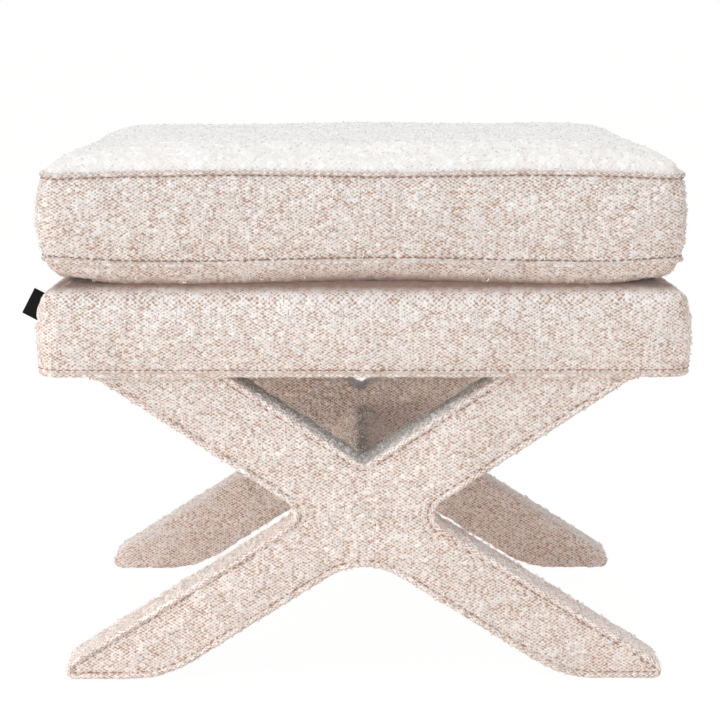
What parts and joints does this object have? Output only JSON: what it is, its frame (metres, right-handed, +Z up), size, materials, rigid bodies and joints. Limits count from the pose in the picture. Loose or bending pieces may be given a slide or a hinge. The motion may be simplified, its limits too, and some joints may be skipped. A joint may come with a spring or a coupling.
{
  "type": "ottoman",
  "caption": "Upholstered ottoman: a loose box cushion on a padded platform, carried by crossed fabric-covered leg frames joined by a stretcher.",
  "frame": {"origin": "on the floor, under the middle of the seat", "axes": "+X to the right along the seat's long side, +Y to the rear, +Z up"},
  "size_m": [0.611, 0.4804, 0.51],
  "materials": {
    "boucle": "nubby boucle, cream loops on a clay ground",
    "boucle_welt": "folded boucle welt with a stitched line beside it",
    "foam": "open cell polyurethane foam",
    "wadding": "white polyester wadding",
    "pine": "planed, unfinished",
    "plywood": "sanded face veneer",
    "beech": "planed, unfinished",
    "zinc_steel": "bright zinc plated",
    "zip_metal": "nickel plated",
    "zip_nylon": "moulded coil",
    "zip_tape": "woven polyester tape",
    "hook_loop": "hook and loop tape",
    "black_nonwoven": "spunbond dust cover",
    "black_woven_tape": "plain woven tape, bare",
    "nylon": "moulded brown nylon"
  },
  "bodies": {
    "base": {"front_rail": "pine", "rear_rail": "pine", "left_rail": "pine", "right_rail": "pine", "corner_blocks": "pine", "corner_block_screws": "zinc_steel", "deck_board": "plywood", "deck_screws": "zinc_steel", "platform_foam": "foam", "edge_wadding": "wadding", "platform_cover": "boucle", "platform_welt": "boucle_welt", "dust_cover": "black_nonwoven", "woven_label": "black_woven_tape", "hook_strips": "hook_loop", "leg_bolts": "zinc_steel", "leg_bolt_washers": "zinc_steel", "leg_inserts": "zinc_steel", "stretcher_bar": "pine", "stretcher_padding": "wadding", "stretcher_cover": "boucle", "stretcher_bolts": "zinc_steel", "stretcher_inserts": "zinc_steel", "stretcher_dowels": "beech", "foot_glides": "nylon", "glide_nails": "zinc_steel", "front_leg_outer_lap": "beech", "front_leg_inner_lap": "beech", "front_frame_padding": "wadding", "front_frame_face_panel": "boucle", "front_frame_welt": "boucle_welt", "front_frame_wrap": "boucle", "rear_leg_outer_lap": "beech", "rear_leg_inner_lap": "beech", "rear_frame_padding": "wadding", "rear_frame_face_panel": "boucle", "rear_frame_welt": "boucle_welt", "rear_frame_wrap": "boucle"},
    "cushion": {"cushion_foam": "foam", "cushion_top_wadding": "wadding", "cushion_bottom_wadding": "wadding", "cushion_top_panel": "boucle", "cushion_bottom_panel": "boucle", "cushion_boxing": "boucle", "cushion_top_welt": "boucle_welt", "cushion_bottom_welt": "boucle_welt", "loop_strips": "hook_loop", "zip_tape": "zip_tape", "zip_chain": "zip_nylon", "zip_stops": "zip_metal"},
    "zip_slider": {"zip_slider": "zip_metal"},
    "zip_pull": {"zip_pull": "zip_metal"}
  },
  "joints": [
    {"name": "cushion_lift", "type": "slide", "parent": "base", "child": "cushion", "axis": [0, 0, 1], "range_m": [0, 0.15]},
    {"name": "zip_slide", "type": "slide", "parent": "cushion", "child": "zip_slider", "axis": [-1, 0, 0], "range_m": [0, 0.4]},
    {"name": "zip_pull_swing", "type": "hinge", "parent": "zip_slider", "child": "zip_pull", "pos_m": [0.202, 0.2414, 0.4378], "axis": [0, 0, -1], "range_deg": [0, 175]}
  ]
}
